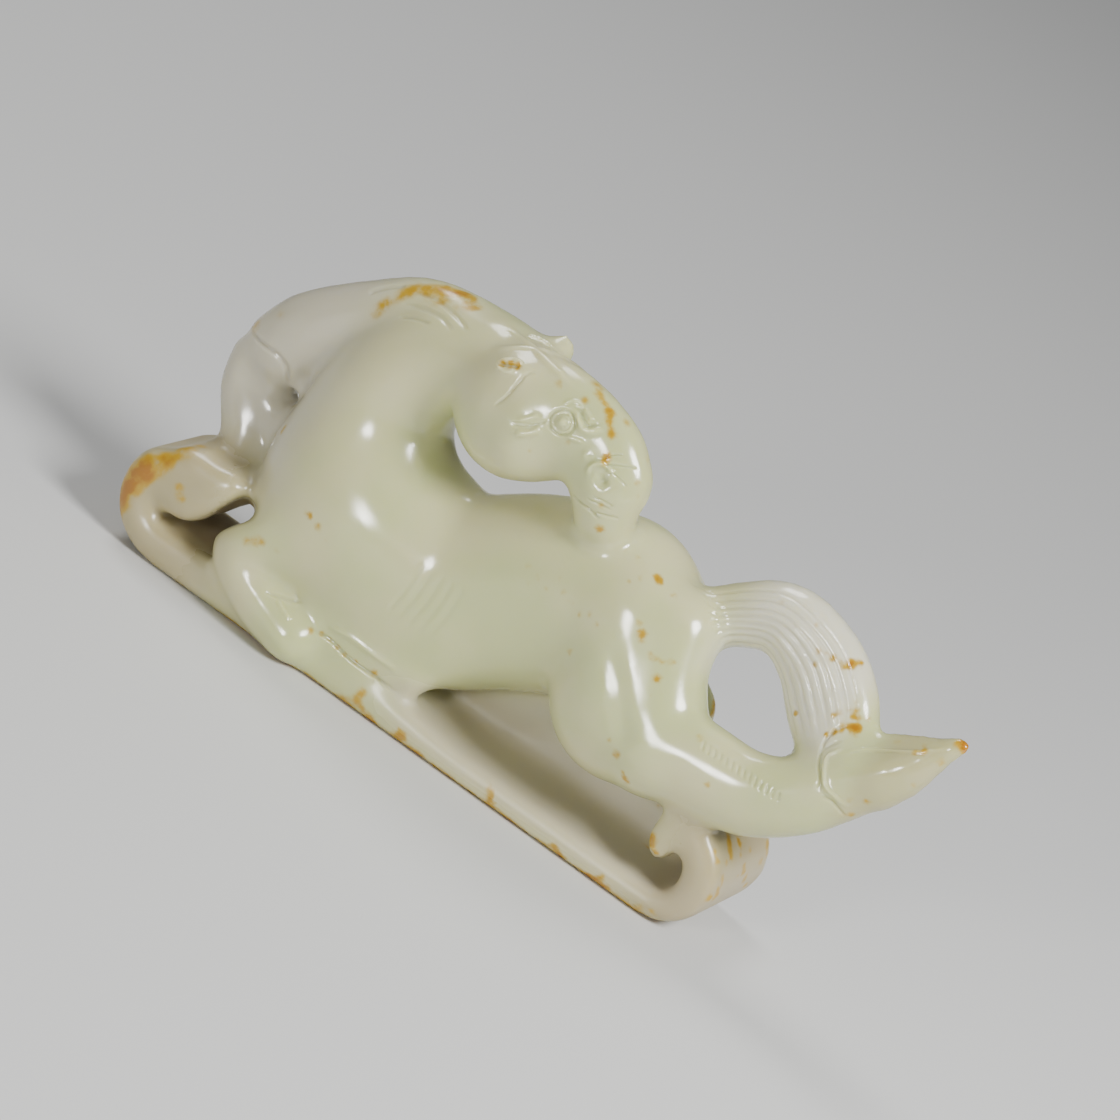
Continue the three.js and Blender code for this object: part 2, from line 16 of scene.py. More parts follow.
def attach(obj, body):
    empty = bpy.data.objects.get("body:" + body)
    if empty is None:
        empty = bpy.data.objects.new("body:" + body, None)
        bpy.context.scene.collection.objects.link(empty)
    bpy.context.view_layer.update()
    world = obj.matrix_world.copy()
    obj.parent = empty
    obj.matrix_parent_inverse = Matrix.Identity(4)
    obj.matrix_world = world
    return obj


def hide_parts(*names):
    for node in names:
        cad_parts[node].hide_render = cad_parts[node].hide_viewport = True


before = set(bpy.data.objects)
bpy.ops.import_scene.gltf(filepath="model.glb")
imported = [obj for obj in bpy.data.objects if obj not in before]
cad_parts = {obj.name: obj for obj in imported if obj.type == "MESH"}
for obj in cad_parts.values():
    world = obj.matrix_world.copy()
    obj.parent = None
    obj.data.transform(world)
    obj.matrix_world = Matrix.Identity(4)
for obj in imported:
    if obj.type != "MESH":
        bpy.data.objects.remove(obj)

log = logging.getLogger("jade_horse")

MM = 0.001
NODE = "horse_carving"
PHOTO_PIXELS = 1120
CLOSED_GAP = 1e-6
FADE_SHARE = 0.22
FADE_START = 0.6

Point = tuple[float, float, float]
Pixel = tuple[float, float]
Stain = tuple[float, float, float, float]


def ring(across: float, down: float, radius: float, corners: int = 14) -> tuple[Pixel, ...]:
    """Gives the points of a closed circle in the level picture.

    Args:
        across: the middle's pixel across.
        down: the middle's pixel down.
        radius: the radius, in pixels.
        corners: how many points it has.

    Returns:
        The points, the first one again at the end.
    """
    turns = [2 * math.pi * (i % corners) / corners for i in range(corners + 1)]
    return tuple((across + radius * math.cos(t), down + radius * math.sin(t)) for t in turns)


class Side(Enum):
    """The flank that a carved line lies on."""

    NEAR = 1
    FAR = -1


class Axis(Enum):
    """The carving's own directions: along its length, through it and up."""

    X = 0
    Y = 1
    Z = 2


class Zone(Enum):
    """A soft-edged part of the stone.

    Each ramp is an axis, where the zone begins along it and where it is full, in millimetres.
    """

    MANE = ((Axis.X, -20, -28), (Axis.Z, 9, 14))
    TAIL = ((Axis.X, 12, 16), (Axis.X, 28, 25), (Axis.Z, 18, 21))
    FAR_LEG = ((Axis.Y, 6.8, 4.2), (Axis.Y, 0.5, 2.5), (Axis.Z, 11, 7), (Axis.X, -14, -4), (Axis.X, 25, 19))
    HIND_CURL = ((Axis.X, 14, 22), (Axis.Z, 10.4, 9))
    FRONT_CURL = ((Axis.X, -21, -30), (Axis.Z, 13, 10))
    SLIT = ((Axis.Y, 6.8, 4.2), (Axis.Y, -5, -2), (Axis.X, -18, -24), (Axis.Z, 12, 8))
    TROUGH = ((Axis.Y, 6.8, 4.2), (Axis.Z, 6, 3.5), (Axis.Y, -6.8, -5), (Axis.X, -12, -2), (Axis.Z, 0.6, 1.4))
    HOOF = ((Axis.X, 28.5, 31),)
    LOWER_EDGE = ((Axis.Z, 0.7, 0.1), (Axis.X, -26, -20), (Axis.X, 27, 22))
    FAR_HOLLOW = ((Axis.Y, -1, 1), (Axis.Z, 0.8, 1.6), (Axis.Z, 9, 7), (Axis.X, -12, -9), (Axis.X, 21, 18))

    def share(self, place: np.ndarray) -> np.ndarray:
        """Gives how far each point lies in the zone.

        Args:
            place: the points, one to a row, in millimetres.

        Returns:
            A number from 0 to 1 for each point.
        """
        found = np.ones(len(place))
        for axis, begins, full in self.value:
            t = np.clip((place[:, axis.value] - begins) / (full - begins), 0, 1)
            found *= t * t * (3 - 2 * t)
        return found


@dataclass(frozen=True)
class Stroke:
    """A carved line, in millimetres: how far it reaches to each side, how deep it goes, and its points.

    A negative depth raises a ridge.
    """

    name: str
    half_width: float
    depth: float
    points: tuple[Point, ...]

    def mirrored(self, middle_y: float, share: float) -> "Stroke":
        """Gives the same line on the other side of an upright plane.

        Args:
            middle_y: where the plane stands, in millimetres.
            share: how much of the depth the copy keeps.

        Returns:
            The line on the other side.
        """
        points = tuple((x, 2 * middle_y - y, z) for x, y, z in self.points)
        return Stroke(self.name + " far", self.half_width, self.depth * share, points)

    def samples(self, spacing: float) -> list[tuple[Vector, float]]:
        """Walks the line in even steps.

        Args:
            spacing: the length of a step, in millimetres.

        Returns:
            Pairs of a point and the share of the depth there, which fades out at open ends.
        """
        knots = [Vector(p) for p in self.points]
        if len(knots) == 1:
            return [(knots[0], 1.0)]
        closed = (knots[0] - knots[-1]).length < CLOSED_GAP
        first = knots[-2] if closed else 2 * knots[0] - knots[1]
        last = knots[1] if closed else 2 * knots[-1] - knots[-2]
        chain = [first, *knots, last]
        walk = []
        for a, b, c, d in zip(chain, chain[1:], chain[2:], chain[3:]):
            steps = max(2, round((c - b).length / spacing))
            for i in range(steps):
                t = i / steps
                curve = 2 * b + (c - a) * t
                curve += (2 * a - 5 * b + 4 * c - d) * t**2
                curve += (3 * b - a - 3 * c + d) * t**3
                walk.append(0.5 * curve)
        walk.append(knots[-1])
        if closed:
            return [(point, 1.0) for point in walk]
        fade = max(2, round(FADE_SHARE * len(walk)))
        shares = [min(1.0, (min(i, len(walk) - 1 - i) + FADE_START) / fade) for i in range(len(walk))]
        return [(point, math.sin(share * math.pi / 2)) for point, share in zip(walk, shares)]


@dataclass(frozen=True)
class Mark:
    """A carved line as it is picked in the level picture.

    Its half width and depth are in millimetres, its points are pixels across and down.
    """

    name: str
    half_width: float
    depth: float
    pixels: tuple[Pixel, ...]

    def row(self, count: int, spacing: float) -> list["Mark"]:
        """Repeats the line in an even row across the picture.

        Args:
            count: how many lines the row has.
            spacing: the pixels from one line to the next.

        Returns:
            The lines, this one first.
        """
        marks = []
        for i in range(count):
            moved = tuple((across + i * spacing, down) for across, down in self.pixels)
            marks.append(replace(self, pixels=moved))
        return marks


class Sight:
    """The lines of sight through the photograph, turned level, down to the stone. Millimetres.

    A stain is picked as its middle, across and down, its radius in pixels, and its strength.
    """

    level_turn = 34.5
    level_pixels = 1558
    nearest_reach = 40
    nearest_step = 2

    def __init__(self, studio: "Studio", mesh: bpy.types.Mesh) -> None:
        """Takes the studio's camera and the surface that the marks lie on.

        Args:
            studio: the studio that holds the camera's numbers.
            mesh: the stone's surface, in millimetres.
        """
        self.studio = studio
        self.reach = studio.distance / MM
        self.focus = studio.lens / studio.sensor * PHOTO_PIXELS
        self.right, self.up, self.back = studio.axes()
        self.eye = Vector(studio.target) / MM + self.back * self.reach
        corners = [v.co for v in mesh.vertices]
        self.surface = BVHTree.FromPolygons(corners, [f.vertices for f in mesh.polygons])

    def way(self, across: float, down: float) -> Vector:
        """Gives the direction of sight through a point of the level picture."""
        middle = self.level_pixels / 2
        turn = math.radians(self.level_turn)
        x, y = across - middle, down - middle
        x, y = math.cos(turn) * x - math.sin(turn) * y, math.sin(turn) * x + math.cos(turn) * y
        x += self.studio.shift[0] * PHOTO_PIXELS
        y -= self.studio.shift[1] * PHOTO_PIXELS
        roll = math.radians(self.studio.roll)
        x, y = math.cos(roll) * x + math.sin(roll) * y, math.sin(roll) * x - math.cos(roll) * y
        return (self.right * x + self.up * y - self.back * self.focus).normalized()

    def lift(self, across: float, down: float) -> Vector:
        """Lays a point of the level picture on the stone.

        Args:
            across: the pixel across.
            down: the pixel down.

        Returns:
            Where the line of sight meets the stone, or the stone's nearest point where it passes by.
        """
        way = self.way(across, down)
        met = self.surface.ray_cast(self.eye, way)[0]
        if met is not None:
            return met
        steps = range(-self.nearest_reach, self.nearest_reach + 1, self.nearest_step)
        found = [self.surface.find_nearest(self.eye + way * (self.reach + step)) for step in steps]
        return min(found, key=lambda near: near[3])[0]

    def stroke(self, mark: Mark) -> Stroke:
        """Lays a picked line on the stone."""
        points = tuple(tuple(self.lift(*pixel)) for pixel in mark.pixels)
        return Stroke(mark.name, mark.half_width, mark.depth, points)

    def spot(self, stain: Stain) -> tuple[Vector, float, float]:
        """Lays a picked stain on the stone: its middle, its radius in millimetres and its strength."""
        across, down, radius, strength = stain
        return self.lift(across, down), radius * self.reach / self.focus, strength


@dataclass(frozen=True)
class Head:
    """The head, laid back over the near flank: eye, brow folds, nostril, lips and ear."""

    middle_y: float = -3.9
    far_share: float = 0.8
    lines: tuple[Mark, ...] = (
        Mark("eye ring", 0.17, 0.2, ring(703, 664, 13)),
        Mark("inner ring", 0.11, 0.1, ring(703, 664, 8.5)),
        Mark("tear line", 0.13, 0.17, ((690, 671), (683, 680), (670, 688), (658, 694))),
        Mark("cheek wrinkle", 0.28, -0.14, ((680, 671), (673, 680), (665, 688))),
        Mark("cheek groove", 0.16, 0.2, ((685, 678), (675, 688), (662, 695))),
        Mark("cheekbone", 0.42, -0.26, ((689, 682), (683, 690), (676, 696), (669, 699))),
        Mark("jaw line", 0.17, 0.17, ((652, 638), (646, 646), (644, 660), (642, 676), (638, 688))),
        Mark(
            "brow fold", 0.45, -0.3,
            ((709, 650), (716, 654), (724, 658), (731, 656), (736, 651), (740, 648)),
        ),
        Mark("brow groove", 0.2, 0.2, ((704, 645), (712, 645), (719, 650), (726, 652), (733, 646))),
        Mark("brow crest", 0.3, -0.16, ((714, 640), (721, 643), (727, 646))),
        Mark("lid crease", 0.22, -0.12, ((694, 647), (700, 640), (707, 638), (713, 640))),
        Mark("under eye", 0.24, -0.16, ((716, 673), (723, 671), (731, 669))),
        Mark("nostril wing", 0.34, -0.26, ((753, 694), (752, 684), (757, 677), (766, 675), (777, 680))),
        Mark("nose ray", 0.13, 0.15, ((762, 675), (773, 668), (790, 660))),
        Mark("nose ray low", 0.13, 0.15, ((772, 678), (781, 678), (792, 680))),
        Mark("nose ray high", 0.13, 0.13, ((757, 671), (763, 663), (771, 657))),
        Mark("mouth", 0.17, 0.2, ((754, 719), (765, 720), (777, 721), (788, 723))),
        Mark("lip line", 0.13, 0.13, ((771, 708), (780, 706), (793, 705))),
        Mark("lip line low", 0.13, 0.12, ((768, 713), (780, 711), (792, 709))),
        Mark("chin line", 0.14, 0.14, ((777, 721), (790, 717), (804, 711))),
        Mark("ear hollow", 0.3, 0.34, ((617, 652), (626, 647), (636, 643))),
        Mark("ear upper edge", 0.24, -0.2, ((616, 649), (626, 640), (638, 638))),
        Mark("ear lower edge", 0.24, -0.2, ((617, 655), (626, 655), (634, 650))),
        Mark("forelock edge", 0.5, -0.16, ((600, 616), (620, 618), (655, 622), (675, 626), (692, 629))),
    )
    beads: tuple[Mark, ...] = (
        Mark("eyeball", 0.6, -0.3, ((703, 664),)),
        Mark("nostril", 0.75, 0.36, ((769, 690),)),
        Mark("nose bump", 0.5, -0.14, ((741, 678),)),
    )
    stains: tuple[Stain, ...] = (
        (712, 613, 6, 0.35), (717, 620, 4, 0.6), (727, 625, 3, 0.6), (736, 629, 4, 0.95),
        (741, 636, 3.5, 0.7), (750, 646, 3.5, 0.6), (757, 628, 4, 0.3), (745, 641, 2.5, 0.4),
        (795, 646, 4, 0.2), (677, 635, 3.5, 0.7), (709, 633, 3.5, 0.35), (620, 650, 3, 0.8),
        (627, 646, 3, 0.9), (634, 643, 3, 0.8), (759, 668, 4, 0.7), (761, 674, 3, 0.4),
        (719, 678, 2.5, 0.25), (783, 710, 3, 0.45), (794, 731, 3, 0.8), (693, 706, 2.5, 0.35),
        (800, 672, 3, 0.35), (806, 680, 3, 0.25),
    )

    def strokes(self, side: Side, sight: Sight) -> list[Stroke]:
        """Gives the carved lines of one side of the face.

        Args:
            side: the side that is wanted.
            sight: what lays the picked lines on the stone.

        Returns:
            All lines on the near side, and their mirror images on the far side.
        """
        near = [sight.stroke(mark) for mark in (*self.lines, *self.beads)]
        if side is Side.NEAR:
            return near
        return [line.mirrored(self.middle_y, self.far_share) for line in near]


@dataclass(frozen=True)
class Mane:
    """The thin mane: a few shallow locks under its crest, and its square lower end."""

    middle_y: float = 0.5
    far_share: float = 0.8
    lines: tuple[Mark, ...] = (
        Mark("lock 1", 0.35, 0.14, ((505, 642), (525, 635), (548, 635), (572, 641))),
        Mark("lock 2", 0.35, 0.12, ((503, 657), (520, 650), (540, 646), (560, 650))),
        Mark("lock 3", 0.3, 0.12, ((508, 670), (522, 662), (538, 658))),
        Mark("lock 4", 0.35, 0.12, ((470, 668), (480, 655), (497, 640))),
        Mark("end", 0.35, 0.16, ((395, 763), (412, 769), (430, 770), (446, 776), (456, 788))),
    )
    stains: tuple[Stain, ...] = (
        (487, 678, 6, 0.35), (491, 668, 6, 0.4), (495, 658, 6, 0.35), (500, 647, 7, 0.35),
        (508, 636, 7, 0.35), (520, 628, 7, 0.45), (532, 621, 7, 0.6), (543, 617, 7, 0.75),
        (554, 615, 7, 0.8), (565, 618, 6, 0.6), (540, 630, 8, 0.3), (555, 627, 8, 0.35),
        (526, 636, 8, 0.25), (395, 758, 6, 0.4), (410, 735, 5, 0.2),
    )

    def strokes(self, side: Side, sight: Sight) -> list[Stroke]:
        """Gives the mane's lines on one side."""
        near = [sight.stroke(mark) for mark in self.lines]
        if side is Side.NEAR:
            return near
        return [line.mirrored(self.middle_y, self.far_share) for line in near]


@dataclass(frozen=True)
class Barrel:
    """The body: faint ribs, the crease in front of the thigh, and the creases of the folded knee."""

    rib: Mark = Mark("rib", 0.36, 0.045, ((668, 857), (669, 889), (666, 921)))
    ribs: int = 5
    rib_spacing: float = 12
    lines: tuple[Mark, ...] = (
        Mark("thigh crease", 1.3, 0.16, ((868, 818), (885, 836), (905, 857), (925, 880), (943, 898))),
        Mark("elbow crease", 0.3, 0.16, ((555, 972), (572, 967), (590, 960))),
        Mark("knee crease", 0.3, -0.14, ((568, 972), (580, 977), (592, 981))),
    )
    stains: tuple[Stain, ...] = (
        (547, 884, 3, 1), (561, 889, 3.5, 0.4), (510, 941, 3.5, 0.5), (516, 936, 3.5, 0.6),
        (522, 933, 3.5, 0.5), (540, 932, 3, 0.25), (477, 828, 4, 0.4), (575, 895, 3, 0.2),
        (922, 899, 2.5, 0.3), (935, 907, 3.5, 0.5), (951, 919, 2, 0.6), (957, 922, 2.5, 0.8),
        (961, 924, 2, 0.6), (995, 847, 3.5, 0.5), (757, 802, 2.5, 0.3), (770, 806, 2.5, 0.3),
        (783, 810, 2.2, 0.3), (800, 803, 2.5, 0.3), (812, 808, 2.2, 0.35), (826, 812, 2.5, 0.35),
        (835, 805, 2.2, 0.3), (765, 815, 2.2, 0.25), (790, 795, 2.2, 0.25), (1028, 881, 2.5, 0.4),
    )
    croup_stains: tuple[Stain, ...] = (
        (826, 733, 2.5, 0.35), (841, 733, 2.5, 0.4), (870, 738, 3.5, 0.7), (874, 741, 3, 0.4),
        (894, 743, 2.5, 0.6), (856, 749, 2.5, 0.4), (848, 757, 2.2, 0.3), (888, 794, 3.5, 0.9),
        (892, 800, 2.5, 0.6), (906, 806, 2.5, 0.6), (914, 806, 2.5, 0.5), (922, 805, 2.5, 0.5),
        (930, 800, 2.5, 0.5), (926, 822, 3, 0.7), (931, 838, 2, 0.3), (839, 849, 2.5, 0.4),
        (880, 786, 2.5, 0.35), (845, 812, 2.5, 0.35), (836, 808, 2.5, 0.3),
    )

    def strokes(self, sight: Sight) -> list[Stroke]:
        """Gives the lines of the near flank."""
        return [sight.stroke(mark) for mark in (*self.lines, *self.rib.row(self.ribs, self.rib_spacing))]


@dataclass(frozen=True)
class Tail:
    """The arched tail, combed into fine flutes on both faces.

    The path's stations are x, y, z and half the width, in millimetres.
    """

    path: tuple[tuple[float, float, float, float], ...] = (
        (11.2, 0.0, 21.6, 2.0), (14.6, -0.2, 24.2, 2.5), (17.4, -0.7, 25.5, 2.9), (21.0, -1.2, 24.6, 3.4),
        (23.4, -1.8, 22.9, 3.6), (25.4, -2.7, 21.1, 3.4),
    )
    half_thickness: float = 2.3
    flutes: int = 8
    spread: float = 0.82
    flute_half_width: float = 0.24
    flute_depth: float = 0.1
    stains: tuple[Stain, ...] = (
        (1043, 707, 3, 0.6), (1051, 705, 2.5, 0.4), (1059, 705, 3, 0.7), (1068, 704, 2.5, 0.4),
        (1078, 700, 4, 0.9), (1085, 694, 3, 0.7), (1073, 707, 2.5, 0.4), (1048, 721, 2.5, 0.4),
        (1060, 772, 2.2, 0.6), (1108, 735, 3, 0.5), (1103, 729, 2.5, 0.4), (1096, 746, 3, 0.4),
        (1119, 749, 3.5, 1), (1113, 752, 3, 0.7), (1105, 754, 3, 0.4), (1102, 766, 3, 0.8),
        (1098, 772, 2.5, 0.6), (1109, 742, 2.5, 0.6), (1115, 740, 2.5, 0.5), (1101, 738, 2.5, 0.5),
        (1118, 756, 2.5, 0.6), (1107, 760, 2.5, 0.5), (1092, 752, 2.5, 0.4), (1028, 687, 2.5, 0.3),
        (985, 688, 2.5, 0.3), (1025, 663, 3, 0.3), (1122, 735, 3, 0.4),
    )

    def strokes(self, side: Side) -> list[Stroke]:
        """Gives the flutes of one face.

        Args:
            side: the face that is wanted.

        Returns:
            One line for each flute, from the root to the end.
        """
        lines = []
        for n in range(self.flutes):
            share = self.spread * (2 * n / (self.flutes - 1) - 1)
            points = []
            for i, (x, y, z, half) in enumerate(self.path):
                before = self.path[max(i - 1, 0)]
                after = self.path[min(i + 1, len(self.path) - 1)]
                along = Vector((after[0] - before[0], 0, after[2] - before[2])).normalized()
                out = math.sqrt(1 - share**2) * self.half_thickness
                points.append((x - along.z * half * share, y - side.value * out, z + along.x * half * share))
            lines.append(Stroke(f"flute {n}", self.flute_half_width, self.flute_depth, tuple(points)))
        return lines


@dataclass(frozen=True)
class KickedHoof:
    """The raised hind hoof: coronet, ridge and the row of nicks along the shank."""

    lines: tuple[Mark, ...] = (
        Mark(
            "coronet", 0.26, 0.14,
            ((1114, 768), (1107, 778), (1103, 788), (1108, 800), (1118, 812), (1124, 824)),
        ),
        Mark(
            "hoof rim", 0.3, -0.18,
            ((1119, 775), (1111, 789), (1116, 803), (1126, 815), (1140, 818), (1155, 820)),
        ),
        Mark(
            "ridge", 0.3, -0.14,
            ((1122, 776), (1137, 764), (1150, 755), (1165, 746), (1185, 733), (1205, 715)),
        ),
        Mark("tail root groove", 0.24, 0.2, ((1110, 753), (1103, 762), (1100, 775), (1102, 790))),
        Mark("heel line", 0.2, 0.14, ((1128, 824), (1142, 824), (1158, 828))),
    )
    nick: Mark = Mark("nick", 0.16, 0.1, ((1001, 847), (1004, 855)))
    nicks: int = 14
    nick_spacing: float = 7
    stains: tuple[Stain, ...] = (
        (1221, 704, 5, 1), (1215, 700, 4, 0.6), (1210, 706, 3, 0.5), (1224, 710, 3, 0.5),
        (1188, 731, 3, 0.6), (1181, 736, 3, 0.6), (1184, 726, 2.5, 0.3), (1160, 738, 3, 0.4),
        (1208, 730, 3, 0.5), (1169, 805, 3, 0.5), (1163, 824, 3, 0.6), (1157, 829, 2.5, 0.4),
        (1153, 813, 2.5, 0.4), (1159, 842, 3, 0.5), (1198, 764, 2.5, 0.4),
    )

    def strokes(self, sight: Sight) -> list[Stroke]:
        """Gives the lines of the hoof and the nicks of the shank."""
        return [sight.stroke(mark) for mark in (*self.lines, *self.nick.row(self.nicks, self.nick_spacing))]


@dataclass(frozen=True)
class ForeHoof:
    """The near fore hoof, laid flat along the scroll under the belly."""

    lines: tuple[Mark, ...] = (
        Mark(
            "sole groove", 0.24, 0.26,
            ((616, 977), (632, 975), (645, 977), (662, 980), (690, 980), (718, 981)),
        ),
        Mark("upper edge", 0.4, -0.16, ((625, 964), (650, 961), (675, 962), (705, 962))),
    )
    stains: tuple[Stain, ...] = (
        (625, 975, 2.5, 0.6), (634, 975, 2.5, 0.5), (655, 979, 2.5, 0.6), (668, 979, 2.5, 0.5),
        (690, 978, 3, 0.5), (613, 979, 3, 0.35), (645, 977, 2.5, 0.5),
    )

    def strokes(self, sight: Sight) -> list[Stroke]:
        """Gives the hoof's lines."""
        return [sight.stroke(mark) for mark in self.lines]


@dataclass(frozen=True)
class Scroll:
    """The scroll's skin: russet on both curls and along the lower edge."""

    front_stains: tuple[Stain, ...] = (
        (408, 901, 8, 0.75), (398, 920, 8, 0.7), (402, 930, 6, 0.45), (386, 939, 10, 1), (382, 952, 10, 1),
        (382, 965, 9, 1), (384, 978, 8, 0.75), (388, 990, 7, 0.5), (395, 1003, 7, 0.35), (424, 936, 4, 0.7),
        (430, 943, 4, 0.8), (419, 888, 6, 0.45), (440, 1012, 7, 0.2),
    )
    edge_stains: tuple[Stain, ...] = (
        (691, 1001, 4, 0.8), (688, 1010, 4, 0.5), (697, 1014, 5, 0.6), (711, 1018, 6, 0.8),
        (682, 1019, 6, 0.6), (722, 1020, 5, 0.5), (746, 1012, 3, 0.5), (747, 1020, 5, 1),
        (756, 1022, 4, 0.6), (773, 1021, 5, 0.7), (852, 1008, 3, 0.7), (855, 1014, 3, 0.9),
        (858, 1020, 4.5, 1), (868, 1022, 4, 0.9), (884, 1023, 4, 0.8), (896, 1023, 4, 0.7),
        (908, 1023, 4, 0.5), (938, 1020, 4, 0.9), (944, 1023, 4, 1), (951, 1023, 3, 0.6),
        (983, 1023, 3, 0.9), (991, 1022, 3.5, 1), (998, 1023, 3, 0.8), (1006, 1023, 3, 0.7),
        (993, 1016, 2.5, 0.5), (1040, 1020, 4, 0.4), (1054, 1017, 2.5, 0.6), (1082, 1008, 3, 0.5),
        (596, 1021, 5, 0.4), (560, 1020, 6, 0.35), (480, 1017, 6, 0.35), (820, 1022, 4, 0.5),
        (640, 1021, 5, 0.4),
    )
    hind_stains: tuple[Stain, ...] = (
        (1079, 916, 3, 0.9), (1083, 921, 4, 0.9), (1088, 926, 3, 0.8), (1088, 911, 3, 0.8),
        (1084, 908, 2.5, 0.7), (1074, 911, 3, 0.5), (1117, 893, 4, 0.8), (1116, 903, 3, 0.6),
        (1115, 914, 4, 0.7), (1104, 928, 3, 0.7), (1107, 932, 3, 0.8), (1112, 937, 4, 0.9),
        (1116, 942, 3, 0.9), (1104, 938, 2.5, 0.5), (1093, 949, 2.5, 0.8), (1095, 953, 2.2, 0.6),
        (1096, 961, 3, 0.7), (1098, 968, 4, 0.8), (1094, 973, 3, 0.6), (1072, 932, 2.5, 0.6),
        (1080, 938, 2.5, 0.5), (1012, 956, 4, 1), (1015, 961, 4, 0.9), (1012, 966, 3, 0.5),
        (1023, 966, 2.5, 0.7), (1101, 976, 3, 0.4), (1000, 925, 3, 0.3), (1088, 934, 3, 0.5),
        (1095, 920, 3, 0.5), (1100, 910, 3, 0.4),
    )
    hock_stains: tuple[Stain, ...] = ((987, 806, 5, 0.35), (990, 813, 5, 0.6), (992, 820, 4, 0.5))

    def stains(self) -> list[Stain]:
        """Gives every stain of the scroll and of the far hock above it."""
        return [*self.front_stains, *self.edge_stains, *self.hind_stains, *self.hock_stains]


@dataclass(frozen=True)
class Colour:
    """A colour in linear light."""

    red: float
    green: float
    blue: float

    def rgba(self) -> tuple[float, float, float, float]:
        """Gives the colour with full cover."""
        return (self.red, self.green, self.blue, 1.0)


class NodeBoard:
    """A small helper that places and wires the nodes of one tree."""

    def __init__(self, tree: bpy.types.NodeTree) -> None:
        """Takes the tree that it works on."""
        self.tree = tree

    def node(self, kind: str, **settings: object) -> bpy.types.Node:
        """Adds a node.

        Args:
            kind: Blender's name of the node.
            settings: properties to set on it.

        Returns:
            The node.
        """
        made = self.tree.nodes.new(kind)
        for key, value in settings.items():
            setattr(made, key, value)
        return made

    def wire(self, source: bpy.types.NodeSocket, target: bpy.types.NodeSocket) -> None:
        """Links two sockets."""
        self.tree.links.new(source, target)

    def feed(self, target: bpy.types.NodeSocket, value: object) -> None:
        """Gives an input what it is fed with: a link from a socket, a colour or a number."""
        if isinstance(value, bpy.types.NodeSocket):
            self.wire(value, target)
        elif isinstance(value, Colour):
            target.default_value = value.rgba()
        else:
            target.default_value = value

    def math(self, operation: str, *values: object, clamp: bool = False) -> bpy.types.NodeSocket:
        """Adds a Math node.

        Args:
            operation: the operation's name.
            values: a socket or a number for each of its inputs.
            clamp: whether the answer stays between 0 and 1.

        Returns:
            The node's answer.
        """
        made = self.node("ShaderNodeMath", operation=operation, use_clamp=clamp)
        for target, value in zip(made.inputs, values):
            self.feed(target, value)
        return made.outputs[0]

    def mix(self, share: bpy.types.NodeSocket, a: object, b: object) -> bpy.types.NodeSocket:
        """Adds a colour mix.

        Args:
            share: how much of the second colour shows.
            a: first colour or socket.
            b: second colour or socket.

        Returns:
            The mixed colour.
        """
        made = self.node("ShaderNodeMix", data_type="RGBA")
        self.wire(share, made.inputs[0])
        for target, value in zip(made.inputs[6:8], (a, b)):
            self.feed(target, value)
        return made.outputs[2]

    def ramp(self, value: bpy.types.NodeSocket, low: object, high: object) -> bpy.types.NodeSocket:
        """Adds a soft ramp that rises from 0 to 1.

        Args:
            value: what the ramp reads.
            low: a socket or a number: where it starts.
            high: a socket or a number: where it is full.

        Returns:
            The ramp's answer.
        """
        made = self.node("ShaderNodeMapRange", interpolation_type="SMOOTHSTEP")
        for name, source in (("Value", value), ("From Min", low), ("From Max", high)):
            self.feed(made.inputs[name], source)
        return made.outputs["Result"]


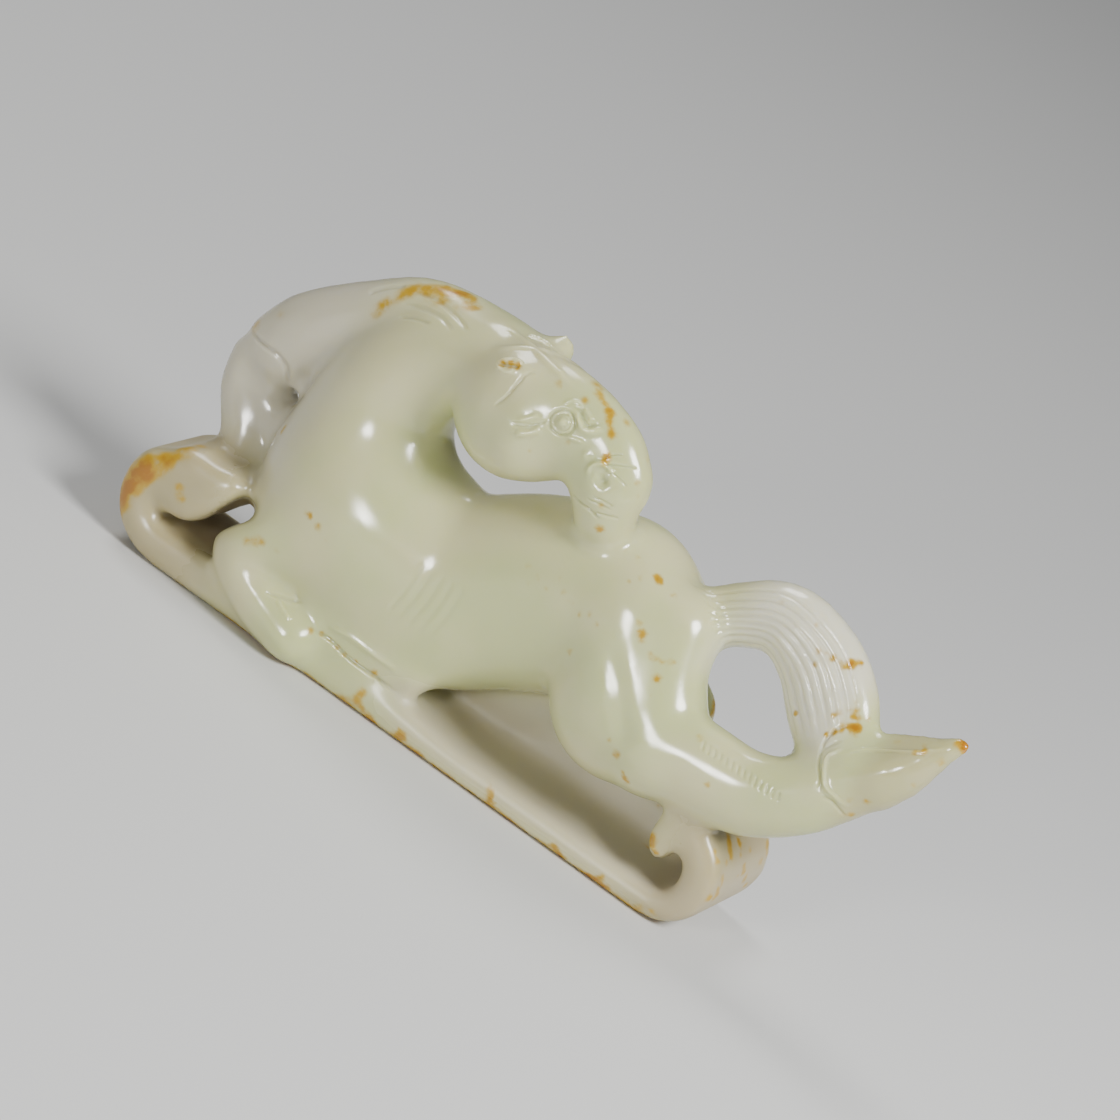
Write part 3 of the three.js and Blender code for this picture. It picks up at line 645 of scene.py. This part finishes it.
@dataclass(frozen=True)
class JadeFinish:
    """Pale celadon jade with a waxy polish, paler towards the mane and scroll, and a thin russet skin.

    Part of its colour is painted light and shade: the trough is painted paler and browner, the slit browner,
    the curls and hoof browner partly as painted shade, and the tail lighter partly as painted light.
    """

    green: Colour = Colour(0.55, 0.58, 0.29)
    cream: Colour = Colour(0.62, 0.60, 0.35)
    # Paler stone tone for the mane and far leg; in the trough the same colour is painted light that lifts the
    # shaded hollow.
    pale_stone_and_lit: Colour = Colour(0.56, 0.53, 0.41)
    # Lighter tone for the tail, partly its paler stone and partly painted light.
    tail_pale_and_lit: Colour = Colour(0.70, 0.68, 0.53)
    # Brown for the slit and trough is painted shade; on the curls and hoof it is partly a browner stone tone,
    # partly painted shade.
    brown_and_painted_shade: Colour = Colour(0.39, 0.30, 0.17)
    ochre: Colour = Colour(0.50, 0.32, 0.015)
    russet: Colour = Colour(0.40, 0.17, 0.0)
    glow: tuple[float, float, float] = (1.0, 0.92, 0.62)
    glow_depth: float = 0.95 * MM
    ior: float = 1.6
    specular: float = 0.65
    roughness: float = 0.14
    roughness_grain: float = 0.08
    satin: float = 0.4
    body_cloud: tuple[float, float, float] = (90.0, 0.35, 0.65)
    skin_cloud: tuple[float, float, float] = (800.0, 0.25, 0.75)
    skin_detail: float = 6.0
    skin_break: float = 1.3
    skin_base: float = 0.35
    thin_skin: tuple[float, float] = (0.04, 0.62)
    deep_skin: tuple[float, float] = (0.5, 1.2)
    grain_scale: float = 700.0
    grain_detail: float = 2.0
    ripple_strength: float = 0.12
    ripple_height: float = 0.04 * MM

    def cloud_group(self) -> bpy.types.NodeTree:
        """Builds the group that turns the stone's own coordinates into a soft mask.

        Returns:
            A shader node group with Vector, Scale, Low and High in, and Mask out.
        """
        tree = bpy.data.node_groups.new("soft_cloud", "ShaderNodeTree")
        face = tree.interface
        face.new_socket("Vector", in_out="INPUT", socket_type="NodeSocketVector")
        for name, value in (("Scale", 100.0), ("Detail", 4.0), ("Low", 0.4), ("High", 0.6)):
            face.new_socket(name, in_out="INPUT", socket_type="NodeSocketFloat").default_value = value
        face.new_socket("Mask", in_out="OUTPUT", socket_type="NodeSocketFloat")
        board = NodeBoard(tree)
        into = board.node("NodeGroupInput")
        noise = board.node("ShaderNodeTexNoise", noise_dimensions="3D")
        board.wire(into.outputs["Vector"], noise.inputs["Vector"])
        board.wire(into.outputs["Scale"], noise.inputs["Scale"])
        board.wire(into.outputs["Detail"], noise.inputs["Detail"])
        soft = board.ramp(noise.outputs["Fac"], into.outputs["Low"], into.outputs["High"])
        out = board.node("NodeGroupOutput")
        board.wire(soft, out.inputs["Mask"])
        return tree

    def material(self) -> bpy.types.Material:
        """Builds the jade.

        Returns:
            The material, reading the stain, tone and matte masks; some tones are painted light and shade.
        """
        jade = bpy.data.materials.new("celadon_jade")
        jade.use_nodes = True
        board = NodeBoard(jade.node_tree)
        board.tree.nodes.clear()
        place = board.node("ShaderNodeTexCoord").outputs["Object"]
        group = self.cloud_group()

        def cloud(scale: float, low: float, high: float, detail: float = 4.0) -> bpy.types.NodeSocket:
            """Places the soft cloud once, with its own values."""
            made = board.node("ShaderNodeGroup", node_tree=group)
            board.wire(place, made.inputs["Vector"])
            for name, value in (("Scale", scale), ("Detail", detail), ("Low", low), ("High", high)):
                made.inputs[name].default_value = value
            return made.outputs["Mask"]

        def mask(name: str) -> bpy.types.NodeSocket:
            """Reads one of the stone's own masks."""
            return board.node("ShaderNodeAttribute", attribute_name=name).outputs["Fac"]

        body = board.mix(cloud(*self.body_cloud), self.green, self.cream)
        # Paler on the mane and far leg, and painted light lifting the shaded trough; then the tail lighter,
        # partly as painted light; then browner: painted shade in the slit and trough, partly painted shade on
        # the curls and hoof.
        body = board.mix(mask("pale"), body, self.pale_stone_and_lit)
        body = board.mix(mask("tail_pale_and_lit"), body, self.tail_pale_and_lit)
        body = board.mix(mask("brown_and_painted_shade"), body, self.brown_and_painted_shade)
        broken = cloud(*self.skin_cloud, detail=self.skin_detail)
        broken = board.math("MULTIPLY_ADD", broken, self.skin_break, self.skin_base)
        skin = board.math("MULTIPLY", mask("stain"), broken)
        body = board.mix(board.ramp(skin, *self.thin_skin), body, self.ochre)
        body = board.mix(board.ramp(skin, *self.deep_skin), body, self.russet)

        surface = board.node("ShaderNodeBsdfPrincipled")
        surface.subsurface_method = "RANDOM_WALK"
        surface.inputs["Subsurface Weight"].default_value = 1.0
        surface.inputs["Subsurface Radius"].default_value = self.glow
        surface.inputs["Subsurface Scale"].default_value = self.glow_depth
        surface.inputs["IOR"].default_value = self.ior
        surface.inputs["Specular IOR Level"].default_value = self.specular
        board.wire(body, surface.inputs["Base Color"])
        grain = board.node("ShaderNodeTexNoise", noise_dimensions="3D")
        grain.inputs["Scale"].default_value = self.grain_scale
        grain.inputs["Detail"].default_value = self.grain_detail
        board.wire(place, grain.inputs["Vector"])
        rough = board.math("MULTIPLY_ADD", grain.outputs["Fac"], self.roughness_grain, self.roughness)
        rough = board.math("ADD", rough, board.math("MULTIPLY", mask("matte"), self.satin))
        board.wire(rough, surface.inputs["Roughness"])
        ripple = board.node("ShaderNodeBump")
        ripple.inputs["Strength"].default_value = self.ripple_strength
        ripple.inputs["Distance"].default_value = self.ripple_height
        board.wire(grain.outputs["Fac"], ripple.inputs["Height"])
        board.wire(ripple.outputs["Normal"], surface.inputs["Normal"])
        out = board.node("ShaderNodeOutputMaterial")
        board.wire(surface.outputs["BSDF"], out.inputs["Surface"])
        return jade


class CarvingTool:
    """A Geometry Nodes tree that presses carved lines into a surface, along its normals."""

    def __init__(self, finish: bpy.types.Material) -> None:
        """Builds the tree.

        Args:
            finish: the material that the carved surface gets.
        """
        self.tree = bpy.data.node_groups.new("carve_lines", "GeometryNodeTree")
        face = self.tree.interface
        face.new_socket("Geometry", in_out="INPUT", socket_type="NodeSocketGeometry")
        face.new_socket("Lines", in_out="INPUT", socket_type="NodeSocketObject")
        face.new_socket("Depth Scale", in_out="INPUT", socket_type="NodeSocketFloat").default_value = 1.0
        face.new_socket("Geometry", in_out="OUTPUT", socket_type="NodeSocketGeometry")
        board = NodeBoard(self.tree)
        into = board.node("NodeGroupInput")
        lines = board.node("GeometryNodeObjectInfo")
        board.wire(into.outputs["Lines"], lines.inputs["Object"])
        here = board.node("GeometryNodeInputPosition").outputs[0]
        nearest = board.node("GeometryNodeSampleNearest", domain="POINT")
        board.wire(lines.outputs["Geometry"], nearest.inputs["Geometry"])
        board.wire(here, nearest.inputs["Sample Position"])

        def sampled(kind: str, value: bpy.types.NodeSocket) -> bpy.types.NodeSocket:
            """Reads a value of the nearest point of the lines."""
            made = board.node("GeometryNodeSampleIndex", data_type=kind, domain="POINT")
            board.wire(lines.outputs["Geometry"], made.inputs["Geometry"])
            board.wire(value, made.inputs["Value"])
            board.wire(nearest.outputs["Index"], made.inputs["Index"])
            return made.outputs["Value"]

        def named(name: str) -> bpy.types.NodeSocket:
            """Reads a number that is kept on the lines' points."""
            made = board.node("GeometryNodeInputNamedAttribute", data_type="FLOAT")
            made.inputs["Name"].default_value = name
            return sampled("FLOAT", made.outputs["Attribute"])

        gap = board.node("ShaderNodeVectorMath", operation="DISTANCE")
        board.wire(here, gap.inputs[0])
        board.wire(sampled("FLOAT_VECTOR", here), gap.inputs[1])
        reach = board.math("DIVIDE", gap.outputs["Value"], named("half_width"), clamp=True)
        dip = board.math("SUBTRACT", 1.0, board.math("POWER", reach, 2.0))
        dip = board.math("MULTIPLY", board.math("POWER", dip, 2.0), named("depth"))
        dip = board.math("MULTIPLY", dip, into.outputs["Depth Scale"])
        push = board.node("ShaderNodeVectorMath", operation="SCALE")
        board.wire(board.node("GeometryNodeInputNormal").outputs[0], push.inputs[0])
        board.wire(board.math("MULTIPLY", dip, -1.0), push.inputs["Scale"])
        move = board.node("GeometryNodeSetPosition")
        board.wire(into.outputs["Geometry"], move.inputs["Geometry"])
        board.wire(push.outputs["Vector"], move.inputs["Offset"])
        real = board.node("GeometryNodeRealizeInstances")
        board.wire(move.outputs["Geometry"], real.inputs["Geometry"])
        dress = board.node("GeometryNodeSetMaterial")
        dress.inputs["Material"].default_value = finish
        board.wire(real.outputs["Geometry"], dress.inputs["Geometry"])
        out = board.node("NodeGroupOutput")
        board.wire(dress.outputs["Geometry"], out.inputs["Geometry"])

    def socket(self, name: str) -> str:
        """Gives the identifier of an input by its name."""
        return next(
            item.identifier
            for item in self.tree.interface.items_tree
            if item.item_type == "SOCKET" and item.in_out == "INPUT" and item.name == name
        )

    def carve(self, stone: bpy.types.Object, lines: bpy.types.Object) -> bpy.types.Mesh:
        """Presses the lines into the stone.

        Args:
            stone: the object to carve.
            lines: an object whose points carry half_width and depth.

        Returns:
            The carved mesh.
        """
        modifier = stone.modifiers.new("carve", "NODES")
        modifier.node_group = self.tree
        modifier[self.socket("Lines")] = lines
        bpy.context.view_layer.update()
        graph = bpy.context.evaluated_depsgraph_get()
        carved = bpy.data.meshes.new_from_object(stone.evaluated_get(graph), depsgraph=graph)
        stone.modifiers.remove(modifier)
        return carved


@dataclass
class Stone:
    """The one piece of jade: an even, polished copy of the frame's solid, carved and stained.

    Its lengths are in millimetres. For each mask, the tones give its zones and how much each counts.
    """

    weld: float = 1e-3
    voxel: float = 0.42
    plain_rounds: int = 6
    hidden_rounds: int = 22
    polish_rounds: int = 14
    last_plain_rounds: int = 1
    last_polish_rounds: int = 3
    polish_forth: float = 0.5
    polish_back: float = -0.52
    flat_height: float = 0.02
    spacing: float = 0.09
    coarse_reach: float = 0.65
    fine_reach: float = 0.36
    fine_half_width: float = 0.45
    stain_reach: float = 2.1
    stain_edge: float = 1.5
    lower_edge_skin: float = 0.55
    tones: tuple[tuple[str, tuple[tuple[Zone, float], ...]], ...] = (
        # Paler stone on the mane and far leg; in the trough, painted light that lifts the shaded hollow.
        ("pale", ((Zone.MANE, 1.0), (Zone.FAR_LEG, 0.8), (Zone.TROUGH, 0.8))),
        # A lighter tail, partly stone tone and partly painted light.
        ("tail_pale_and_lit", ((Zone.TAIL, 1.0),)),
        # Browner curls and hoof, partly painted shade; the slit and trough get painted shade.
        ("brown_and_painted_shade", (
            (Zone.HIND_CURL, 0.65), (Zone.FRONT_CURL, 0.65), (Zone.SLIT, 0.8),
            (Zone.TROUGH, 0.3), (Zone.HOOF, 0.4),
        )),
        ("matte", (
            (Zone.TROUGH, 1.0), (Zone.FAR_LEG, 1.0), (Zone.SLIT, 1.0),
            (Zone.HIND_CURL, 0.3), (Zone.FRONT_CURL, 0.3),
        )),
    )
    head: Head = field(default_factory=Head)
    mane: Mane = field(default_factory=Mane)
    barrel: Barrel = field(default_factory=Barrel)
    tail: Tail = field(default_factory=Tail)
    kicked_hoof: KickedHoof = field(default_factory=KickedHoof)
    fore_hoof: ForeHoof = field(default_factory=ForeHoof)
    scroll: Scroll = field(default_factory=Scroll)

    def strokes(self, sight: Sight) -> list[Stroke]:
        """Gathers every carved line of the stone."""
        lines = []
        for part in (self.barrel, self.kicked_hoof, self.fore_hoof):
            lines += part.strokes(sight)
        for side in Side:
            lines += self.head.strokes(side, sight)
            lines += self.mane.strokes(side, sight)
            lines += self.tail.strokes(side)
        return lines

    def stains(self) -> list[Stain]:
        """Gathers every russet stain of the stone."""
        return [
            *self.head.stains, *self.mane.stains, *self.barrel.stains, *self.barrel.croup_stains,
            *self.tail.stains, *self.kicked_hoof.stains, *self.fore_hoof.stains, *self.scroll.stains(),
        ]

    def even_copy(self, node: bpy.types.Object) -> bpy.types.Object:
        """Copies the frame's solid, merges it and gives it an even fine mesh.

        Args:
            node: the frame's object.

        Returns:
            A new object in millimetres.
        """
        mesh = node.data.copy()
        mesh.transform(Matrix.Scale(1 / MM, 4))
        work = bmesh.new()
        work.from_mesh(mesh)
        bmesh.ops.remove_doubles(work, verts=work.verts, dist=self.weld)
        work.to_mesh(mesh)
        work.free()
        stone = bpy.data.objects.new("horse_stone", mesh)
        bpy.context.scene.collection.objects.link(stone)
        remesh = stone.modifiers.new("even", "REMESH")
        remesh.mode = "VOXEL"
        remesh.voxel_size = self.voxel
        bpy.context.view_layer.update()
        graph = bpy.context.evaluated_depsgraph_get()
        even = bpy.data.meshes.new_from_object(stone.evaluated_get(graph), depsgraph=graph)
        stone.modifiers.remove(remesh)
        stone.data = even
        return stone

    def polish(self, mesh: bpy.types.Mesh, plain: int, back_and_forth: int, hidden: int = 0) -> None:
        """Smooths a mesh: first plainly, then back and forth, which keeps its size.

        Args:
            mesh: the mesh to smooth.
            plain: rounds of plain smoothing.
            back_and_forth: rounds that shrink and swell by turns.
            hidden: further plain rounds on the far leg and the trough behind it.
        """
        count = len(mesh.vertices)
        place = np.empty(count * 3)
        mesh.vertices.foreach_get("co", place)
        place = place.reshape(-1, 3)
        edges = np.empty(len(mesh.edges) * 2, dtype=int)
        mesh.edges.foreach_get("vertices", edges)
        a, b = edges.reshape(-1, 2).T
        degree = np.bincount(edges, minlength=count)[:, None]
        floor = place[:, 2] < self.flat_height
        hollow = Zone.FAR_HOLLOW.share(place)[:, None]

        def step(share: float | np.ndarray) -> None:
            """Moves each point towards the middle of its neighbours by a share."""
            sums = [np.bincount(a, place[b, k], count) + np.bincount(b, place[a, k], count) for k in range(3)]
            place[:] += share * (np.stack(sums, axis=1) / degree - place)

        for _ in range(plain):
            step(self.polish_forth)
        for _ in range(hidden):
            step(self.polish_forth * hollow)
        for _ in range(back_and_forth):
            step(self.polish_forth)
            step(self.polish_back)
        place[floor, 2] = 0.0
        place[:, 2] = np.maximum(place[:, 2], 0.0)
        mesh.vertices.foreach_set("co", place.ravel())
        mesh.update()

    def line_points(self, sight: Sight) -> tuple[list[Vector], list[float], list[float]]:
        """Lays the carved lines on the surface.

        Args:
            sight: what lays the picked lines on the stone.

        Returns:
            The points, and for each its half width and its depth.
        """
        points, half_widths, depths = [], [], []
        for stroke in self.strokes(sight):
            log.debug("carved line: %s", stroke.name)
            for point, share in stroke.samples(self.spacing):
                points.append(sight.surface.find_nearest(point)[0])
                half_widths.append(stroke.half_width)
                depths.append(stroke.depth * share)
        return points, half_widths, depths

    def refine(self, mesh: bpy.types.Mesh, points: list[Vector], half_widths: list[float]) -> None:
        """Splits the faces near the carved lines, twice near the finest.

        Args:
            mesh: the mesh to split.
            points: points on the lines.
            half_widths: how far each line reaches.
        """
        work = bmesh.new()
        work.from_mesh(mesh)
        fine = [p for p, w in zip(points, half_widths) if w < self.fine_half_width]
        for near, reach in ((points, self.coarse_reach), (fine, self.fine_reach)):
            tree = KDTree(len(near))
            for i, point in enumerate(near):
                tree.insert(point, i)
            tree.balance()
            close = {v for v in work.verts if tree.find(v.co)[2] < reach}
            edges = [e for e in work.edges if e.verts[0] in close and e.verts[1] in close]
            bmesh.ops.subdivide_edges(work, edges=edges, cuts=1, use_grid_fill=True)
            bmesh.ops.triangulate(work, faces=work.faces)
        work.to_mesh(mesh)
        work.free()

    def masks(self, mesh: bpy.types.Mesh, sight: Sight) -> None:
        """Keeps the stain and tone masks on the mesh's points; some tones carry painted light and shade.

        Args:
            mesh: the finished mesh, in millimetres.
            sight: what lays the picked stains on the stone.
        """
        count = len(mesh.vertices)
        place = np.empty(count * 3)
        mesh.vertices.foreach_get("co", place)
        place = place.reshape(-1, 3)
        clean = np.ones(count)
        for stain in self.stains():
            middle, radius, strength = sight.spot(stain)
            gap = np.sqrt(((place - np.array(middle)) ** 2).sum(axis=1)) / (self.stain_reach * radius)
            clean *= 1 - strength * np.clip(1 - gap**2, 0, 1) ** self.stain_edge
        clean *= 1 - self.lower_edge_skin * Zone.LOWER_EDGE.share(place)
        kept_masks = {"stain": 1 - clean}
        for name, zones in self.tones:
            kept_masks[name] = np.maximum.reduce([share * zone.share(place) for zone, share in zones])
        for name, values in kept_masks.items():
            kept = mesh.attributes.new(name, "FLOAT", "POINT")
            kept.data.foreach_set("value", values.astype(np.float32))

    def build(self, node: bpy.types.Object, finish: bpy.types.Material, studio: "Studio") -> bpy.types.Object:
        """Makes the finished stone.

        Args:
            node: the frame's solid.
            finish: the jade.
            studio: the studio, through whose camera the marks are laid on the stone.

        Returns:
            The piece, in metres, with its place in its mesh.
        """
        stone = self.even_copy(node)
        self.polish(stone.data, self.plain_rounds, self.polish_rounds, self.hidden_rounds)
        sight = Sight(studio, stone.data)
        points, half_widths, depths = self.line_points(sight)
        self.refine(stone.data, points, half_widths)
        self.polish(stone.data, self.last_plain_rounds, self.last_polish_rounds)
        lines_mesh = bpy.data.meshes.new("carved_lines")
        lines_mesh.from_pydata(points, [], [])
        for name, values in (("half_width", half_widths), ("depth", depths)):
            lines_mesh.attributes.new(name, "FLOAT", "POINT").data.foreach_set("value", values)
        lines = bpy.data.objects.new("carved_lines", lines_mesh)
        bpy.context.scene.collection.objects.link(lines)
        carved = CarvingTool(finish).carve(stone, lines)
        bpy.data.objects.remove(lines)
        self.masks(carved, sight)
        carved.transform(Matrix.Scale(MM, 4))
        carved.polygons.foreach_set("use_smooth", [True] * len(carved.polygons))
        carved.materials.clear()
        carved.materials.append(finish)
        stone.data = carved
        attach(stone, "root")
        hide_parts(NODE)
        return stone


@dataclass(frozen=True)
class Lamp:
    """A soft round light that faces the carving, in metres and watts.

    Its direction is given by shares of the camera's own back, right and up.
    """

    name: str
    back: float
    right: float
    up: float
    distance: float
    width: float
    power: float
    tint: Colour = Colour(1.0, 1.0, 1.0)


@dataclass
class Studio:
    """A plain pale floor, soft lights and the camera. Angles in degrees, lengths in metres."""

    azimuth: float = 17.0
    elevation: float = 20.0
    roll: float = 29.0
    distance: float = 0.42
    sensor: float = 36.0
    target: Point = (0.0, -0.00019, 0.017)
    lens: float = 169.9
    shift: tuple[float, float] = (-0.0032, 0.0245)
    clip: tuple[float, float] = (0.01, 20.0)
    floor_half: float = 3.0
    floor_colour: Colour = Colour(0.62, 0.62, 0.61)
    floor_roughness: float = 0.85
    sky: Colour = Colour(0.8, 0.82, 0.85)
    sky_strength: float = 0.18
    lamps: tuple[Lamp, ...] = (
        Lamp("key", 0.9, -0.4, -0.1, 0.5, 0.1, 1.12, Colour(1.0, 0.99, 0.97)),
        Lamp("fill", 0.7, 0.55, 0.45, 0.32, 0.12, 1.45),
        Lamp("top", -0.1, -0.35, 0.85, 0.5, 0.2, 1.0),
    )

    def axes(self) -> tuple[Vector, Vector, Vector]:
        """Gives the camera's own right, up and backward directions before it is rolled."""
        a, e = math.radians(self.azimuth), math.radians(self.elevation)
        back = Vector((math.sin(a) * math.cos(e), -math.cos(a) * math.cos(e), math.sin(e)))
        right = Vector((math.cos(a), math.sin(a), 0.0))
        return right, back.cross(right), back

    def camera(self) -> None:
        """Makes the camera at the photograph's viewing angle, for the scene to use."""
        right, up, back = self.axes()
        turn = math.radians(self.roll)
        across = right * math.cos(turn) + up * math.sin(turn)
        upward = up * math.cos(turn) - right * math.sin(turn)
        data = bpy.data.cameras.new("camera")
        data.lens = self.lens
        data.sensor_width = self.sensor
        data.shift_x, data.shift_y = self.shift
        data.clip_start, data.clip_end = self.clip
        made = bpy.data.objects.new("camera", data)
        turned = Matrix((across, upward, back)).transposed().to_4x4()
        made.matrix_world = Matrix.Translation(Vector(self.target) + back * self.distance) @ turned
        bpy.context.scene.collection.objects.link(made)
        bpy.context.scene.camera = made

    def floor(self) -> None:
        """Makes the floor that the scroll stands on."""
        half = self.floor_half
        corners = [(-half, -half, 0), (half, -half, 0), (half, half, 0), (-half, half, 0)]
        mesh = bpy.data.meshes.new("floor")
        mesh.from_pydata(corners, [], [(0, 1, 2, 3)])
        made = bpy.data.objects.new("floor", mesh)
        bpy.context.scene.collection.objects.link(made)
        paint = bpy.data.materials.new("floor_paint")
        paint.use_nodes = True
        surface = paint.node_tree.nodes["Principled BSDF"]
        surface.inputs["Base Color"].default_value = self.floor_colour.rgba()
        surface.inputs["Roughness"].default_value = self.floor_roughness
        mesh.materials.append(paint)

    def light(self, lamp: Lamp) -> None:
        """Hangs one lamp and turns it to the carving."""
        right, up, back = self.axes()
        way = (back * lamp.back + right * lamp.right + up * lamp.up).normalized()
        data = bpy.data.lights.new(lamp.name, "AREA")
        data.shape = "DISK"
        data.size = lamp.width
        data.energy = lamp.power
        data.color = lamp.tint.rgba()[:3]
        made = bpy.data.objects.new(lamp.name, data)
        made.location = Vector(self.target) + way * lamp.distance
        made.rotation_mode = "QUATERNION"
        made.rotation_quaternion = (-way).to_track_quat("-Z", "Y")
        bpy.context.scene.collection.objects.link(made)

    def surroundings(self) -> None:
        """Sets the pale light that comes from all round."""
        world = bpy.data.worlds.new("surroundings")
        world.use_nodes = True
        sky = world.node_tree.nodes["Background"]
        sky.inputs["Color"].default_value = self.sky.rgba()
        sky.inputs["Strength"].default_value = self.sky_strength
        bpy.context.scene.world = world

    def build(self) -> None:
        """Makes the whole studio."""
        self.camera()
        self.floor()
        for lamp in self.lamps:
            self.light(lamp)
        self.surroundings()


def main() -> None:
    """Builds the carving and its studio."""
    logging.basicConfig(level=logging.INFO, format="%(name)s: %(message)s")
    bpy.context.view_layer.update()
    studio = Studio()
    studio.build()
    finish = JadeFinish().material()
    stone = Stone().build(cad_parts[NODE], finish, studio)
    log.info("%s: %d points, %d faces", stone.name, len(stone.data.vertices), len(stone.data.polygons))


if __name__ == "__main__":
    main()
